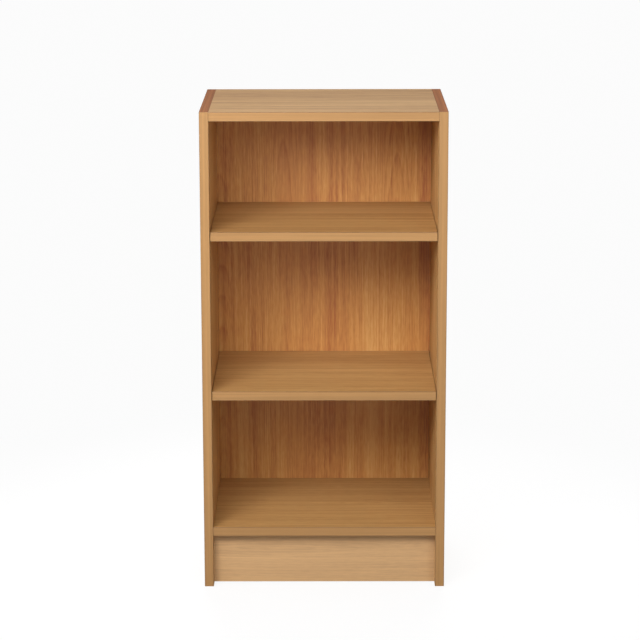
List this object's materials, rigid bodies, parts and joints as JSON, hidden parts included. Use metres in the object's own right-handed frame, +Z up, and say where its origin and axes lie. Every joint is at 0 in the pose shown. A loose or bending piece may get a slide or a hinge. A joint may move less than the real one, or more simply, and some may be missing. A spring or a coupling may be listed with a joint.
{
  "type": "bookcase",
  "caption": "Low open bookcase in wood-effect board, with loose shelves on push-in pegs, a fixed bottom shelf, a recessed plinth and a thin pinned back.",
  "frame": {"origin": "on the floor, in the middle of the footprint", "axes": "+Z up; the open front faces -Y; +X to the right as seen from the front"},
  "size_m": [0.398, 0.29, 0.794],
  "materials": {
    "oak_foil_board": "satin printed oak foil on chipboard",
    "front_edging": "satin wood-effect strip",
    "top_edging": "satin red-brown wood-effect strip",
    "back_board": "printed oak paper on hardboard",
    "peg_plastic": "moulded brown plastic",
    "block_plastic": "moulded brown plastic",
    "beech_dowel": "raw beech",
    "zinc_plated_steel": "bright zinc plate",
    "zinc_alloy": "dull die-cast zinc"
  },
  "bodies": {
    "carcass": {"back_panel": "back_board", "back_panel_pins": "zinc_plated_steel", "bottom_left_dowel": "beech_dowel", "bottom_left_front_cam_bolt": "zinc_plated_steel", "bottom_left_front_cam_lock": "zinc_alloy", "bottom_left_rear_cam_bolt": "zinc_plated_steel", "bottom_left_rear_cam_lock": "zinc_alloy", "bottom_right_dowel": "beech_dowel", "bottom_right_front_cam_bolt": "zinc_plated_steel", "bottom_right_front_cam_lock": "zinc_alloy", "bottom_right_rear_cam_bolt": "zinc_plated_steel", "bottom_right_rear_cam_lock": "zinc_alloy", "bottom_shelf": "oak_foil_board", "bottom_shelf_band": "front_edging", "left_block_screw_forward": "zinc_plated_steel", "left_block_screw_up": "zinc_plated_steel", "left_plinth_block": "block_plastic", "left_side_front_band": "front_edging", "left_side_panel": "oak_foil_board", "left_side_top_band": "top_edging", "plinth": "oak_foil_board", "plinth_left_high_dowel": "beech_dowel", "plinth_left_low_dowel": "beech_dowel", "plinth_right_high_dowel": "beech_dowel", "plinth_right_low_dowel": "beech_dowel", "right_block_screw_forward": "zinc_plated_steel", "right_block_screw_up": "zinc_plated_steel", "right_plinth_block": "block_plastic", "right_side_front_band": "front_edging", "right_side_panel": "oak_foil_board", "right_side_top_band": "top_edging", "top_left_dowel": "beech_dowel", "top_left_front_cam_bolt": "zinc_plated_steel", "top_left_front_cam_lock": "zinc_alloy", "top_left_rear_cam_bolt": "zinc_plated_steel", "top_left_rear_cam_lock": "zinc_alloy", "top_panel": "oak_foil_board", "top_panel_band": "front_edging", "top_right_dowel": "beech_dowel", "top_right_front_cam_bolt": "zinc_plated_steel", "top_right_front_cam_lock": "zinc_alloy", "top_right_rear_cam_bolt": "zinc_plated_steel", "top_right_rear_cam_lock": "zinc_alloy"},
    "upper_pegs": {"upper_left_front_peg": "peg_plastic", "upper_left_rear_peg": "peg_plastic", "upper_right_front_peg": "peg_plastic", "upper_right_rear_peg": "peg_plastic"},
    "upper_shelf": {"upper_shelf": "oak_foil_board", "upper_shelf_band": "front_edging"},
    "lower_pegs": {"lower_left_front_peg": "peg_plastic", "lower_left_rear_peg": "peg_plastic", "lower_right_front_peg": "peg_plastic", "lower_right_rear_peg": "peg_plastic"},
    "lower_shelf": {"lower_shelf": "oak_foil_board", "lower_shelf_band": "front_edging"}
  },
  "joints": [
    {"name": "upper_shelf_height", "type": "slide", "parent": "carcass", "child": "upper_pegs", "axis": [0, 0, 1], "range_m": [-0.064, 0.128]},
    {"name": "upper_shelf_pull", "type": "slide", "parent": "upper_pegs", "child": "upper_shelf", "axis": [0, -1, 0], "range_m": [0, 0.29]},
    {"name": "lower_shelf_height", "type": "slide", "parent": "carcass", "child": "lower_pegs", "axis": [0, 0, 1], "range_m": [-0.128, 0.064]},
    {"name": "lower_shelf_pull", "type": "slide", "parent": "lower_pegs", "child": "lower_shelf", "axis": [0, -1, 0], "range_m": [0, 0.29]}
  ]
}
